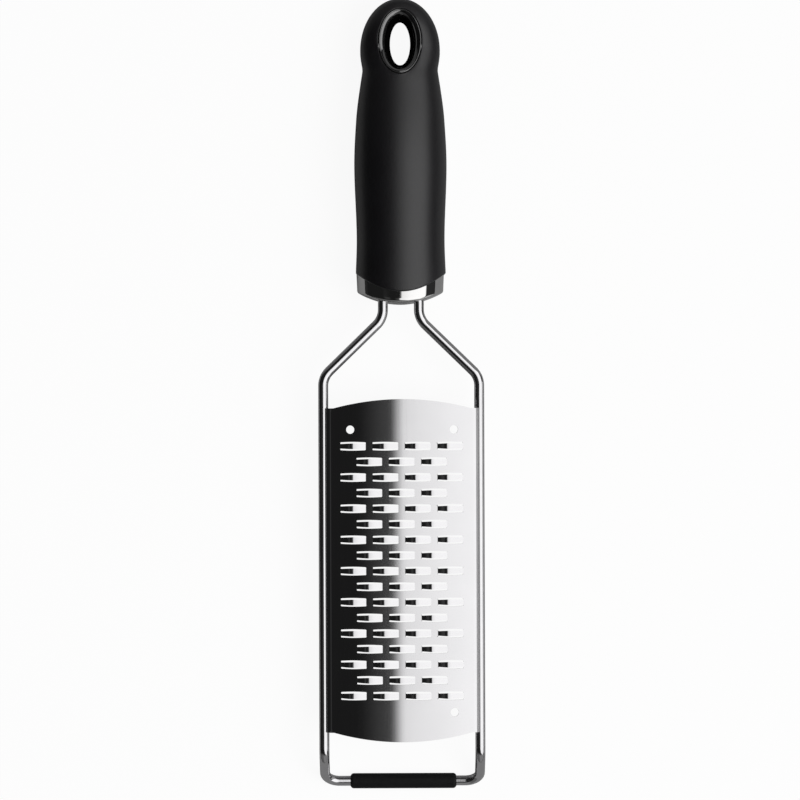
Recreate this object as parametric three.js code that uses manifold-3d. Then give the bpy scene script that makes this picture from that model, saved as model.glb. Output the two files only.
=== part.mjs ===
// Ribbon grater: an etched and arched steel blade on a bent wire frame, with a soft grip over a hard core.
// Millimetres. It lies on its back: X across, Y from the foot to the hanging eye, Z up out of the blade.
import * as THREE from "three";
import { mergeVertices } from "three/addons/utils/BufferGeometryUtils.js";
import Module from "manifold-3d";

const wasm = await Module();
wasm.setup();

// Clearance left where two pieces touch on the real grater
const seatGap = 0.25;

// Wire frame, measured on the centre line of the wire
const wireDiameter = 4;
const sideSpacing = 64;
const tailSpacing = 14.8;
const neckBendRadius = 9;
const shoulderBendRadius = 8.5;
const shoulderHeight = 24;
const collarAboveNeck = 5.8;
const tailLength = 50;
const spadeLength = 9;
const spadeTaper = 4;
const spadeWidth = 5.4;
const spadeThickness = 2.4;

// Bent-back foot with its rubber sleeve
const footDiameter = 6.3;
const footLength = 44;
const footEndRound = 1.4;
const footTilt = THREE.MathUtils.degToRad(49.4);
const footBendRadius = 8;
const footCornerRadius = 6;

// Blade sheet
const bladeThickness = 0.5;
const bladeSideLength = 132.8;
const bladeAboveKink = 9.7;
const bladeBelowShoulder = 13.2;
const bladeEndBow = 4.1;
const bladeArchRadius = 186;
const edgeRollRadius = 3.15;
const edgeRollEnd = THREE.MathUtils.degToRad(60);
const edgeLap = 1.23;
const edgeMargin = 0.8;

// Ribbon cutters: strips that cross their windows from side to side and rise to a rounded crest in the middle
const cutterRows = 17;
const cutterColumns = 4;
const rowPitch = 6.4;
const columnPitch = 13.3;
const windowLength = 10.5;
const windowEndWidth = 3.45;
const windowBelly = 0.35;
const windowCorner = 0.4;
const stripEndWidth = 1.75;
const stripBelly = 0.45;
const stripRise = 1.5;
const stripCrest = 0.18;
const stripStationBias = 1.8;
const stripBevel = 0.3;
const stripRoot = 0.8;
const stripThinning = 0.2;

// Locating holes left by the tool that forms the blade: two at the handle end, one at the foot end
const locatorDiameter = 3.6;
const locatorSpacing = 42.6;
const locatorFromCentre = 58;

// Handle, with heights counted from the lowest point of the collar towards the eye
const gripWall = 2.4;
const gripEdgeSide = 12.9;
const gripEdgeBow = 7.3;
const gripLipRound = 0.8;
const gripEdgeFade = 34;
const waistHeight = 26.5;
const bellyHeight = 57.4;
const taperShare = 0.395;
const throatShare = 0.715;
const headHeight = 104.5;
const headLength = 21.4;
const gripEdgeHalfWidth = 18.4;
const waistHalfWidth = 18;
const bellyHalfWidth = 19;
const taperHalfWidth = 18.15;
const throatHalfWidth = 16.25;
const bodyEndHalfWidth = 13.7;
const headHalfWidth = 16.4;
const headBlend = 0.5;
const gripEdgeHalfThickness = 16.6;
const waistHalfThickness = 16.3;
const bellyHalfThickness = 17.2;
const throatHalfThickness = 12.6;
const headHalfThickness = 9.4;
const sectionPower = 2.1;

// Hanging eye: a rolled ring of the hard core
const eyeAboveHead = 3;
const eyeRimHalfWidth = 8.75;
const eyeRimHalfLength = 13.4;
const eyeRingWidth = 4.4;
const eyeRingEndWidth = 4.05;
const eyeRimLand = 0.5;
const eyeRimProud = 0.15;

// Collar that caps the lower end of the core, set in a little from the edge of the grip
const collarInset = 0.7;
const collarBow = 5.1;
const collarFloor = 3;
const collarEdgeRound = 1.3;

// Facets
const wireSides = 12;
const bendSteps = 6;
const sleeveSides = 16;
const sleeveRoundSteps = 3;
const gripFacets = { points: 28, bodySteps: 8, headSteps: 7 };
const coreFacets = { points: 16, bodySteps: 4, headSteps: 4 };
const eyePoints = 28;
const eyeSteps = 6;
const archSteps = 4;
const edgeRollSteps = 6;
const endBowSteps = 14;
const stripSteps = 6;
const locatorSides = 16;

// Sizes that follow from the ones above
const wireRadius = wireDiameter / 2;
const footRadius = footDiameter / 2;
const axisHeight = bellyHalfThickness;
const footDrop = axisHeight - footRadius;
const footAxisAt = footRadius;
const kinkAt = footAxisAt + footDrop / Math.tan(footTilt);
const bladeCentreAt = kinkAt + bladeAboveKink + bladeSideLength / 2;
const shoulderAt = bladeCentreAt + bladeSideLength / 2 + bladeBelowShoulder;
const neckAt = shoulderAt + shoulderHeight;
const collarAt = neckAt + collarAboveNeck;
const taperHeight = THREE.MathUtils.lerp(bellyHeight, headHeight, taperShare);
const throatHeight = THREE.MathUtils.lerp(bellyHeight, headHeight, throatShare);
const eyeHeight = headHeight + eyeAboveHead;
const collarHalfWidth = gripEdgeHalfWidth - collarInset;
const collarHalfThickness = gripEdgeHalfThickness - collarInset;
const overallLength = collarAt + headHeight + headLength;

const blackGrip = new THREE.MeshStandardMaterial({ color: 0x1d1b1e, roughness: 0.62, metalness: 0 });
const blackGloss = new THREE.MeshStandardMaterial({ color: 0x0b0a0b, roughness: 0.08, metalness: 0 });
const blackRubber = new THREE.MeshStandardMaterial({ color: 0x1a1a1b, roughness: 0.75, metalness: 0 });
const polishedWire = new THREE.MeshStandardMaterial({ color: 0xc9c9cb, roughness: 0.12, metalness: 1 });
const polishedCap = new THREE.MeshStandardMaterial({ color: 0xcccccd, roughness: 0.06, metalness: 1 });
const bladeSteel = new THREE.MeshStandardMaterial({ color: 0xd4d3d6, roughness: 0.2, metalness: 1 });

// A closed triangle mesh as a solid that can be joined and cut
function solid(geometry) {
  const bare = new THREE.BufferGeometry();
  bare.setAttribute("position", geometry.getAttribute("position"));
  bare.setIndex(geometry.index);
  const merged = mergeVertices(bare, 1e-5);
  const corners = merged.index.array;
  const triangles = [];
  for (let i = 0; i < corners.length; i += 3) {
    const [a, b, c] = corners.slice(i, i + 3);
    if (a !== b && b !== c && c !== a) triangles.push(a, b, c);
  }
  const vertProperties = new Float32Array(merged.getAttribute("position").array);
  const facing = (list) =>
    new wasm.Manifold(new wasm.Mesh({ numProp: 3, vertProperties, triVerts: new Uint32Array(list) }));
  const made = facing(triangles);
  return made.volume() < 0 ? facing(triangles.reverse()) : made;
}

function piece(name, shape, material) {
  const { vertProperties, triVerts } = shape.getMesh();
  const geometry = new THREE.BufferGeometry();
  geometry.setAttribute("position", new THREE.BufferAttribute(vertProperties, 3));
  geometry.setIndex(new THREE.BufferAttribute(triVerts, 1));
  geometry.computeVertexNormals();
  const mesh = new THREE.Mesh(geometry, material);
  mesh.name = name;
  return mesh;
}

// A skin over a stack of rings of equal count, closed at both ends by strips across the ring
function loft(rings) {
  const count = rings[0].length;
  const index = [];
  for (let r = 0; r + 1 < rings.length; r++) {
    for (let i = 0; i < count; i++) {
      const a = r * count + i;
      const b = r * count + ((i + 1) % count);
      index.push(a, b, b + count, a, b + count, a + count);
    }
  }
  const cap = (first, turned) => {
    for (let i = 0; i < count / 2; i++) {
      const near = [first + i, first + i + 1];
      const far = [first + ((count - i) % count), first + ((count - i - 1) % count)];
      const strip = [near[0], far[1], near[1], near[0], far[0], far[1]];
      index.push(...(turned ? strip.reverse() : strip));
    }
  };
  cap(0, false);
  cap((rings.length - 1) * count, true);
  const geometry = new THREE.BufferGeometry();
  const points = rings.flat().flatMap((p) => [p.x, p.y, p.z]);
  geometry.setAttribute("position", new THREE.Float32BufferAttribute(points, 3));
  geometry.setIndex(index);
  return geometry;
}

// A prism of a flat outline, centred on the plane of the outline
function prism(shape, depth, curveSegments = 1) {
  const options = { depth, bevelEnabled: false, curveSegments };
  return new THREE.ExtrudeGeometry(shape, options).translate(0, 0, -depth / 2);
}

// A smooth curve through [position, value] points that never overshoots them
function smoothCurve(points) {
  const rise = points.slice(1).map(([x, v], i) => (v - points[i][1]) / (x - points[i][0]));
  const slope = points.map((_, i) => {
    const before = rise[Math.max(i - 1, 0)];
    const after = rise[Math.min(i, rise.length - 1)];
    return before * after <= 0 ? 0 : (2 * before * after) / (before + after);
  });
  return (x) => {
    let i = 0;
    while (i + 2 < points.length && x > points[i + 1][0]) i++;
    const [x0, v0] = points[i];
    const [x1, v1] = points[i + 1];
    const span = x1 - x0;
    const t = THREE.MathUtils.clamp((x - x0) / span, 0, 1);
    const ease = t * t * (3 - 2 * t);
    const bend = slope[i] * t * (1 - t) ** 2 - slope[i + 1] * t * t * (1 - t);
    return v0 + (v1 - v0) * ease + span * bend;
  };
}

// Wire frame

// The corners of a line with each inner corner rounded to its radius, as places and directions along it
function roundedLine(corners) {
  const stations = [];
  const direction = (from, to) => to.clone().sub(from).normalize();
  corners.forEach(({ at, radius }, i) => {
    const before = i > 0 ? direction(corners[i - 1].at, at) : null;
    const after = i + 1 < corners.length ? direction(at, corners[i + 1].at) : null;
    if (!before || !after) {
      stations.push({ at, along: before ?? after });
      return;
    }
    const turn = before.angleTo(after);
    const axis = before.clone().cross(after).normalize();
    const start = at.clone().addScaledVector(before, -radius * Math.tan(turn / 2));
    const inward = axis.clone().cross(before);
    const centre = start.clone().addScaledVector(inward, radius);
    for (let k = 0; k <= bendSteps; k++) {
      const angle = (turn * k) / bendSteps;
      const spoke = inward.clone().multiplyScalar(-radius).applyAxisAngle(axis, angle);
      stations.push({ at: centre.clone().add(spoke), along: before.clone().applyAxisAngle(axis, angle) });
    }
  });
  return stations;
}

function wireCorners() {
  const half = [
    { at: new THREE.Vector3(tailSpacing / 2, collarAt + tailLength, 0) },
    { at: new THREE.Vector3(tailSpacing / 2, neckAt, 0), radius: neckBendRadius },
    { at: new THREE.Vector3(sideSpacing / 2, shoulderAt, 0), radius: shoulderBendRadius },
    { at: new THREE.Vector3(sideSpacing / 2, kinkAt, 0), radius: footBendRadius },
    { at: new THREE.Vector3(sideSpacing / 2, footAxisAt, -footDrop), radius: footCornerRadius },
  ];
  const mirror = ({ at, radius }) => ({ at: new THREE.Vector3(-at.x, at.y, at.z), radius });
  return [...half, ...half.map(mirror).reverse()];
}

// The wire, or with grow the room that it needs: round all along, with its tails pressed into flat spades
function wireGeometry(grow) {
  const line = roundedLine(wireCorners());
  const tailStations = ({ at, along }, inward) =>
    [-grow, spadeLength, spadeLength + spadeTaper].map((depth, i) => ({
      at: at.clone().addScaledVector(along, inward * depth),
      along,
      pressed: i < 2,
    }));
  const stations = [
    ...tailStations(line[0], 1),
    ...line.slice(1, -1),
    ...tailStations(line[line.length - 1], -1).reverse(),
  ];
  const up = new THREE.Vector3(0, 0, 1);
  const turn = new THREE.Quaternion();
  const rings = stations.map(({ at, along, pressed }, i) => {
    if (i > 0) up.applyQuaternion(turn.setFromUnitVectors(stations[i - 1].along, along));
    const side = along.clone().cross(up);
    const high = (pressed ? spadeThickness / 2 : wireRadius) + grow;
    const wide = (pressed ? spadeWidth / 2 : wireRadius) + grow;
    return Array.from({ length: wireSides }, (_, k) => {
      const angle = (2 * Math.PI * k) / wireSides;
      const point = at.clone().addScaledVector(up, high * Math.cos(angle));
      return point.addScaledVector(side, wide * Math.sin(angle));
    });
  });
  return loft(rings);
}

function wireFrame() {
  return piece("wire_frame", solid(wireGeometry(0)), polishedWire);
}

// Foot sleeve: a rubber tube with rounded ends, turned so that one flat of it faces the table

function footSleeve() {
  const flatToCorner = 1 / Math.cos(Math.PI / sleeveSides);
  const bore = (wireRadius + seatGap) * flatToCorner;
  const outer = footRadius * flatToCorner;
  const profile = [];
  for (const end of [-1, 1]) {
    profile.push(new THREE.Vector2(bore, (end * footLength) / 2));
    for (let k = 0; k <= sleeveRoundSteps; k++) {
      const angle = (Math.PI / 2) * (k / sleeveRoundSteps);
      const radius = outer - footEndRound * (1 - Math.sin(angle));
      const reach = footLength / 2 - footEndRound * (1 - Math.cos(angle));
      profile.push(new THREE.Vector2(radius, end * reach));
    }
    if (end < 0) continue;
    const top = profile.splice(profile.length - sleeveRoundSteps - 2);
    profile.push(...top.reverse());
  }
  profile.push(profile[0].clone());
  const sleeve = new THREE.LatheGeometry(profile, sleeveSides, Math.PI / sleeveSides);
  const mesh = piece("foot_sleeve", solid(sleeve), blackRubber);
  mesh.rotation.z = Math.PI / 2;
  mesh.position.set(0, footAxisAt, -footDrop);
  return mesh;
}

// Blade: a sheet arched over the side wires, with its long edges rolled down to rest on the top of each wire

const edgeTipX = sideSpacing / 2 - wireRadius + edgeLap;
const rollCentreX = edgeTipX - edgeRollRadius * Math.sin(edgeRollEnd);
const tipFromWire = sideSpacing / 2 - edgeTipX + (bladeThickness / 2) * Math.sin(edgeRollEnd);
const tipHeight = Math.sqrt((wireRadius + seatGap) ** 2 - tipFromWire ** 2);
const rollCentreZ = tipHeight - (edgeRollRadius - bladeThickness / 2) * Math.cos(edgeRollEnd);
const archEndAngle = Math.asin(rollCentreX / (bladeArchRadius - edgeRollRadius));
const archEndX = bladeArchRadius * Math.sin(archEndAngle);
const archDrop = bladeArchRadius * (1 - Math.cos(archEndAngle));
const crownHeight = rollCentreZ + edgeRollRadius * Math.cos(archEndAngle) + archDrop;

// The middle line of the sheet from its crown to the tip of one rolled edge; heading is the angle below level
function sheetLine() {
  const line = [];
  for (let k = 0; k <= archSteps; k++) {
    const heading = (archEndAngle * k) / archSteps;
    const z = crownHeight - bladeArchRadius * (1 - Math.cos(heading));
    line.push({ x: bladeArchRadius * Math.sin(heading), z, heading });
  }
  for (let k = 1; k <= edgeRollSteps; k++) {
    const heading = THREE.MathUtils.lerp(archEndAngle, edgeRollEnd, k / edgeRollSteps);
    const x = rollCentreX + edgeRollRadius * Math.sin(heading);
    line.push({ x, z: rollCentreZ + edgeRollRadius * Math.cos(heading), heading });
  }
  return line;
}

function sheetSection() {
  const line = sheetLine();
  const face = (offset) => {
    const right = line.map(({ x, z, heading }) => {
      const normal = new THREE.Vector2(Math.sin(heading), Math.cos(heading));
      return new THREE.Vector2(x, z).addScaledVector(normal, offset);
    });
    const left = right.slice(1).map(({ x, y }) => new THREE.Vector2(-x, y));
    return [...left.reverse(), ...right];
  };
  return new THREE.Shape([...face(bladeThickness / 2), ...face(-bladeThickness / 2).reverse()]);
}

// The sheet seen from above: square at the rolled edges and bowed out at both ends between them
function sheetOutline() {
  const wide = sideSpacing;
  const bowX = archEndX - edgeMargin;
  const end = bladeSideLength / 2;
  const control = end + 2 * bladeEndBow;
  const shape = new THREE.Shape();
  shape.moveTo(-wide, -end);
  shape.lineTo(-bowX, -end);
  shape.quadraticCurveTo(0, -control, bowX, -end);
  shape.lineTo(wide, -end);
  shape.lineTo(wide, end);
  shape.lineTo(bowX, end);
  shape.quadraticCurveTo(0, control, -bowX, end);
  shape.lineTo(-wide, end);
  return shape;
}

// The hole under one cutter: a long window with chamfered corners that swells in the middle
function windowShape() {
  const end = windowLength / 2;
  const high = windowEndWidth / 2;
  const belly = high + windowBelly / 2;
  const quarter = [
    [end, high - windowCorner],
    [end - windowCorner, high],
    [0, belly],
    [windowCorner - end, high],
    [-end, high - windowCorner],
  ];
  const lower = quarter.map(([x, y]) => [x, -y]).reverse();
  return new THREE.Shape([...quarter, ...lower].map(([x, y]) => new THREE.Vector2(x, y)));
}

// One cutter: a strip rooted in both ends of its window, raised to a crest and sharp along both edges.
// It follows the arch of the sheet, so that its roots stay inside the steel.
function stripGeometry() {
  const thickness = bladeThickness * (1 - stripThinning);
  const sink = (bladeThickness - thickness) / 2;
  const section = (x, halfWidth, rise) => {
    const top = rise - sink - (x * x) / (2 * bladeArchRadius);
    return [
      new THREE.Vector3(x, halfWidth, top),
      new THREE.Vector3(x, -halfWidth, top),
      new THREE.Vector3(x, stripBevel - halfWidth, top - thickness),
      new THREE.Vector3(x, halfWidth - stripBevel, top - thickness),
    ];
  };
  const reach = windowLength / 2 + sink;
  const root = (side) => section(side * (reach + stripRoot), stripEndWidth / 2, 0);
  const rings = [root(-1)];
  const slope = (u) => Math.hypot(u, stripCrest);
  for (let k = 0; k <= stripSteps; k++) {
    const even = (2 * k) / stripSteps - 1;
    const u = Math.sign(even) * Math.abs(even) ** stripStationBias;
    const swell = (slope(1) - slope(u)) / (slope(1) - slope(0));
    const halfWidth = (stripEndWidth + stripBelly * swell) / 2;
    rings.push(section(u * reach, halfWidth, stripRise * swell));
  }
  rings.push(root(1));
  return loft(rings);
}

// Places a shape made on the flat sheet, where z is 0 on the upper face, on the arch of the blade
function onArch(geometry, across, along) {
  const angle = across / bladeArchRadius;
  const faceRadius = bladeArchRadius + bladeThickness / 2;
  const x = faceRadius * Math.sin(angle);
  const z = crownHeight - bladeArchRadius + faceRadius * Math.cos(angle);
  return geometry.clone().rotateY(angle).translate(x, along, z);
}

function cutterPlaces() {
  const places = [];
  for (let row = 0; row < cutterRows; row++) {
    const columns = cutterColumns - (row % 2);
    for (let column = 0; column < columns; column++) {
      const across = (column - (columns - 1) / 2) * columnPitch;
      places.push([across, (row - (cutterRows - 1) / 2) * rowPitch]);
    }
  }
  return places;
}

function blade() {
  const through = 4 * (bladeThickness + stripRise);
  const length = bladeSideLength + 4 * bladeEndBow;
  const sheet = prism(sheetSection(), length).rotateX(Math.PI / 2);
  const ends = prism(sheetOutline(), 4 * (crownHeight + wireDiameter), endBowSteps);
  let shape = solid(sheet).intersect(solid(ends));
  const window = prism(windowShape(), through);
  const locator = new THREE.CylinderGeometry(locatorDiameter / 2, locatorDiameter / 2, through, locatorSides);
  locator.rotateX(Math.PI / 2);
  for (const [side, end] of [[-1, 1], [1, 1], [1, -1]]) {
    const hole = onArch(locator, (side * locatorSpacing) / 2, end * locatorFromCentre);
    shape = shape.subtract(solid(hole));
  }
  const strip = stripGeometry();
  for (const [across, along] of cutterPlaces()) {
    shape = shape.subtract(solid(onArch(window, across, along)));
    shape = shape.add(solid(onArch(strip, across, along)));
  }
  const mesh = piece("blade", shape, bladeSteel);
  mesh.position.y = bladeCentreAt;
  return mesh;
}

// Handle: ovals stacked along Y, whose lower rings dip in the middle of the front and of the back

const bodyHalfWidth = smoothCurve([
  [gripEdgeSide, gripEdgeHalfWidth],
  [waistHeight, waistHalfWidth],
  [bellyHeight, bellyHalfWidth],
  [taperHeight, taperHalfWidth],
  [throatHeight, throatHalfWidth],
  [headHeight, bodyEndHalfWidth],
]);
const bodyHalfThickness = smoothCurve([
  [gripEdgeSide - gripEdgeBow, gripEdgeHalfThickness],
  [waistHeight, waistHalfThickness],
  [bellyHeight, bellyHalfThickness],
  [throatHeight, throatHalfThickness],
  [headHeight, headHalfThickness],
]);

// How far along the rounded head a height lies, from 0 at its widest to 1 at its tip
function headShare(height, inset) {
  return Math.min(1, Math.abs(height - headHeight) / (headLength - inset));
}

function halfWidthAt(height, inset) {
  const head = (headHalfWidth - inset) * Math.sqrt(1 - headShare(height, inset) ** 2);
  if (height >= headHeight) return head;
  const body = bodyHalfWidth(height) - inset;
  return (body + head + Math.hypot(body - head, headBlend)) / 2;
}

function halfThicknessAt(height, inset) {
  if (height < headHeight) return bodyHalfThickness(height) - inset;
  return (headHalfThickness - inset) * Math.sqrt(1 - headShare(height, inset) ** 3);
}

// How far a rounded edge is drawn in and how high it has risen, as shares of its radius
const roundedEdge = [1, 0.5, 0].map((turn) => {
  const angle = (turn * Math.PI) / 2;
  return [1 - Math.cos(angle), 1 - Math.sin(angle)];
});

// A rounded ring that dips by the given amount in the middle of its front and back
function dippedRing(halfWidth, halfThickness, side, dip, points) {
  const soften = (v) => Math.sign(v) * Math.abs(v) ** (2 / sectionPower);
  return Array.from({ length: points }, (_, k) => {
    const angle = (2 * Math.PI * k) / points;
    const share = soften(Math.cos(angle));
    const y = side - dip * (1 - share * share);
    return new THREE.Vector3(halfWidth * share, y, halfThickness * soften(Math.sin(angle)));
  });
}

function handleRing(side, dip, inset, { points }) {
  return dippedRing(halfWidthAt(side, inset), halfThicknessAt(side - dip, inset), side, dip, points);
}

// The rings of the handle above its lower edge, all drawn in by the same inset
function upperRings(inset, facets) {
  const { bodySteps, headSteps } = facets;
  const rings = [];
  const dipAt = (side) => gripEdgeBow * Math.max(0, 1 - (side - gripEdgeSide) / gripEdgeFade);
  for (let k = 1; k <= bodySteps; k++) {
    const side = THREE.MathUtils.lerp(gripEdgeSide, bellyHeight, k / bodySteps);
    rings.push(handleRing(side, dipAt(side), inset, facets));
  }
  for (let k = 1; k <= 2 * bodySteps; k++) {
    const side = THREE.MathUtils.lerp(bellyHeight, headHeight, k / (2 * bodySteps));
    rings.push(handleRing(side, dipAt(side), inset, facets));
  }
  for (let k = 1; k <= headSteps; k++) {
    const share = Math.sin((Math.PI / 2) * (k / headSteps));
    rings.push(handleRing(headHeight + share * (headLength - inset), 0, inset, facets));
  }
  return rings;
}

function gripGeometry(proud) {
  const lip = roundedEdge.map(([inset, rise]) =>
    handleRing(gripEdgeSide + gripLipRound * rise, gripEdgeBow, gripLipRound * inset - proud, gripFacets),
  );
  return loft([...lip, ...upperRings(-proud, gripFacets)]);
}

// The hard core inside the grip and the collar, or with grow the room that it needs
function coreGeometry(grow) {
  const inset = gripWall - grow;
  const foot = handleRing(collarBow + collarFloor - grow, collarBow, inset, coreFacets);
  const edge = handleRing(gripEdgeSide, gripEdgeBow, inset, coreFacets);
  return loft([foot, edge, ...upperRings(inset, coreFacets)]);
}

// The straight-sided boss of the core that fills the eye of the grip
function eyeBoss(grow) {
  const shape = new THREE.Shape();
  const halfWidth = eyeRimHalfWidth + grow;
  const halfLength = eyeRimHalfLength + grow;
  shape.absellipse(0, eyeHeight, halfWidth, halfLength, 0, 2 * Math.PI);
  return prism(shape, 4 * headHalfThickness, eyePoints);
}

function surfaceHeight(x, height) {
  const share = Math.min(1, Math.abs(x) / halfWidthAt(height, 0));
  return halfThicknessAt(height, 0) * (1 - share ** sectionPower) ** (1 / sectionPower);
}

// The hole of the eye: a straight oval throat that rolls open towards both faces of the handle
function eyeHole() {
  const rollRadius = eyeRingWidth - eyeRimLand;
  const rollDepth = Math.min(rollRadius, headHalfThickness / 2);
  const ringAt = (side, turn, clear) => {
    const drop = rollDepth * (1 - Math.sin(turn));
    const inward = (ringWidth) => ringWidth - (ringWidth - eyeRimLand) * (1 - Math.cos(turn));
    return Array.from({ length: eyePoints }, (_, i) => {
      const angle = (2 * Math.PI * i) / eyePoints;
      const cos = Math.cos(angle);
      const sin = Math.sin(angle);
      const face = surfaceHeight(eyeRimHalfWidth * cos, eyeHeight + eyeRimHalfLength * sin);
      const x = (eyeRimHalfWidth - inward(eyeRingWidth)) * cos;
      const y = eyeHeight + (eyeRimHalfLength - inward(eyeRingEndWidth)) * sin;
      return new THREE.Vector3(x, y, side * (face - drop + clear));
    });
  };
  const turns = Array.from({ length: eyeSteps + 1 }, (_, k) => ((Math.PI / 2) * k) / eyeSteps);
  const rollOut = (side) => [
    ...turns.map((turn) => ringAt(side, turn, 0)),
    ringAt(side, Math.PI / 2, headHalfThickness),
  ];
  return loft([...rollOut(-1).reverse(), ...rollOut(1)]);
}

function wireRoom() {
  return solid(wireGeometry(seatGap).translate(0, -collarAt, 0));
}

function gripSleeve() {
  const shape = solid(gripGeometry(0)).subtract(solid(coreGeometry(seatGap)));
  return piece("grip_sleeve", shape.subtract(solid(eyeBoss(seatGap))), blackGrip);
}

function handleCore() {
  const boss = solid(eyeBoss(0)).intersect(solid(gripGeometry(eyeRimProud)));
  const shape = solid(coreGeometry(0)).add(boss).subtract(solid(eyeHole()));
  return piece("handle_core", shape.subtract(wireRoom()), blackGloss);
}

function collarCap() {
  const ring = (inset, side, dip) =>
    dippedRing(collarHalfWidth - inset, collarHalfThickness - inset, side, dip, gripFacets.points);
  const edge = roundedEdge.map(([inset, rise]) =>
    ring(collarEdgeRound * inset, collarBow + collarEdgeRound * rise, collarBow),
  );
  const outside = loft([...edge, ring(0, gripEdgeSide - seatGap, gripEdgeBow)]);
  const shape = solid(outside).subtract(solid(coreGeometry(seatGap)));
  return piece("collar_cap", shape.subtract(wireRoom()), polishedCap);
}

const handle = new THREE.Group();
handle.position.y = collarAt;
handle.add(gripSleeve(), handleCore(), collarCap());

// Everything above counts Y from the foot end and Z from the plane of the wire
const laidDown = new THREE.Group();
laidDown.position.set(0, -overallLength / 2, axisHeight);
laidDown.add(handle, wireFrame(), blade(), footSleeve());

const grater = new THREE.Group();
grater.add(laidDown);

export default grater;
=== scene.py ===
# %% [markdown]
# # A ribbon grater in its studio
# The grater is a black handle, a bent wire, an arched steel blade with raised cutters, and a
# rubber foot. The CAD model gives every piece its place. Its solids are faceted, which shows on
# mirror-bright steel, so this lesson draws each visible piece again as a finer surface over the
# same sizes, and then lights it.

# %% Load the frame
import math

import bmesh
import bpy
import numpy as np
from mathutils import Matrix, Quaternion, Vector
from mathutils.geometry import delaunay_2d_cdt


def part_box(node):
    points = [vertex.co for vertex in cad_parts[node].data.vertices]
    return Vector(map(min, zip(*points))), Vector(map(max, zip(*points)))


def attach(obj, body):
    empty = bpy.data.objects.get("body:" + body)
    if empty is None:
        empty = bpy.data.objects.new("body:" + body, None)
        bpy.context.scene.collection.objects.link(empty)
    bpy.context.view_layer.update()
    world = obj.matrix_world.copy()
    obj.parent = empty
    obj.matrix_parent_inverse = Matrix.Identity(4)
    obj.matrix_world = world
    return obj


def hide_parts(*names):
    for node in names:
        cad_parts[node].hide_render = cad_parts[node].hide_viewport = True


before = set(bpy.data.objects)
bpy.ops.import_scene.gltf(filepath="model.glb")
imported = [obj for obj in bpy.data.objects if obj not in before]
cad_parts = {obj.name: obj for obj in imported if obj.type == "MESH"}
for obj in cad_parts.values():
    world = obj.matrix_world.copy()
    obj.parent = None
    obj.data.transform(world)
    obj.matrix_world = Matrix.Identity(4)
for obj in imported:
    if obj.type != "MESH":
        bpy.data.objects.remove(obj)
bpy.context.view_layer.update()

print("nodes:", sorted(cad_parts))

# %% [markdown]
# ## One set of rulers
# A maker measures this grater from its foot and from the plane of its wire, in millimetres.
# Blender wants metres in the frame of the CAD model, where the grater lies on a table and the
# table is z = 0. One small function goes between the two, so that all other numbers can stay in
# plain millimetres.

# %% Rulers
MM = 0.001
overall_length = 326.6
wire_plane, wire_radius = 17.2, 2.0


def to_row(points):
    """Millimetres from the foot end and the plane of the wire, as metres in the row frame."""
    return (np.asarray(points, dtype=float) + (0.0, -overall_length / 2, wire_plane)) * MM


wire_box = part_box("wire_frame")
wire_top = round(wire_box[1][2] / MM, 2)
print("wire top should be", wire_plane + wire_radius, "mm and is", wire_top, "mm")

# %% [markdown]
# ## Turning points into a piece
# Most pieces here are skins over rings of points. A ring is one slice of the piece, and the skin
# joins each ring to the next. One helper welds points that coincide, turns all faces outwards,
# and shades the piece smooth but keeps real edges sharp. Another gives the piece its finish and
# its body, and hides the CAD node that the piece stands for.

# %% Skins and pieces
def skin(rings):
    """Points and quads of a skin over closed rings that all have the same number of points."""
    count = len(rings[0])
    points = [tuple(p) for ring in rings for p in ring]
    faces = []
    for r in range(len(rings) - 1):
        here, there = r * count, (r + 1) * count
        for i in range(count):
            j = (i + 1) % count
            faces.append((here + i, here + j, there + j, there + i))
    return points, faces


def join(parts):
    """Several lists of points and faces as one."""
    points, faces = [], []
    for some_points, some_faces in parts:
        start = len(points)
        points.extend(some_points)
        faces.extend(tuple(i + start for i in face) for face in some_faces)
    return points, faces


def put(name, data):
    obj = bpy.data.objects.new(name, data)
    bpy.context.scene.collection.objects.link(obj)
    return obj


def settle(obj, node, material):
    """Gives a finished piece its finish and its body, and hides the CAD node that it stands for.
    """
    obj.data.materials.append(material)
    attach(obj, "root")
    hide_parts(node)
    print(obj.name, "stands for", node, "with", len(obj.data.polygons), "faces")


def make_piece(name, parts, node, material, sharp_degrees=40):
    """A smooth piece out of lists of points in millimetres and faces."""
    points, faces = join(parts)
    mesh = bpy.data.meshes.new(name)
    mesh.from_pydata(to_row(points).tolist(), [], faces)
    shape = bmesh.new()
    shape.from_mesh(mesh)
    bmesh.ops.remove_doubles(shape, verts=shape.verts, dist=1e-6)
    bmesh.ops.recalc_face_normals(shape, faces=shape.faces)
    shape.to_mesh(mesh)
    shape.free()
    mesh.polygons.foreach_set("use_smooth", [True] * len(mesh.polygons))
    mesh.set_sharp_from_angle(angle=math.radians(sharp_degrees))
    settle(put(name, mesh), node, material)


test_rings = [[(0, 0, z), (1, 0, z), (0, 1, z)] for z in (0, 1)]
print("skin test:", len(skin(test_rings)[1]), "faces round a prism")

# %% [markdown]
# ## Nets of triangles with holes
# The blade has slits, the grip has an eye and the collar has two wire holes. Such a face is
# easiest to draw flat: mark the rim and the holes as lines that must be kept, scatter points
# between them, and let a Delaunay triangulation join everything. Triangles that fall inside a
# hole are then thrown away.

# %% Flat nets
def inside(polygon, points):
    """Which of the points lie inside a closed polygon, by counting crossings."""
    x, y = points[:, 0], points[:, 1]
    odd = np.zeros(len(points), dtype=bool)
    previous = polygon[-1]
    for corner in polygon:
        (x0, y0), (x1, y1) = previous, corner
        crosses = (y0 > y) != (y1 > y)
        slope = (x1 - x0) / (y1 - y0) if y1 != y0 else 0.0
        odd ^= crosses & (x < x0 + (y - y0) * slope)
        previous = corner
    return odd


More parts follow.
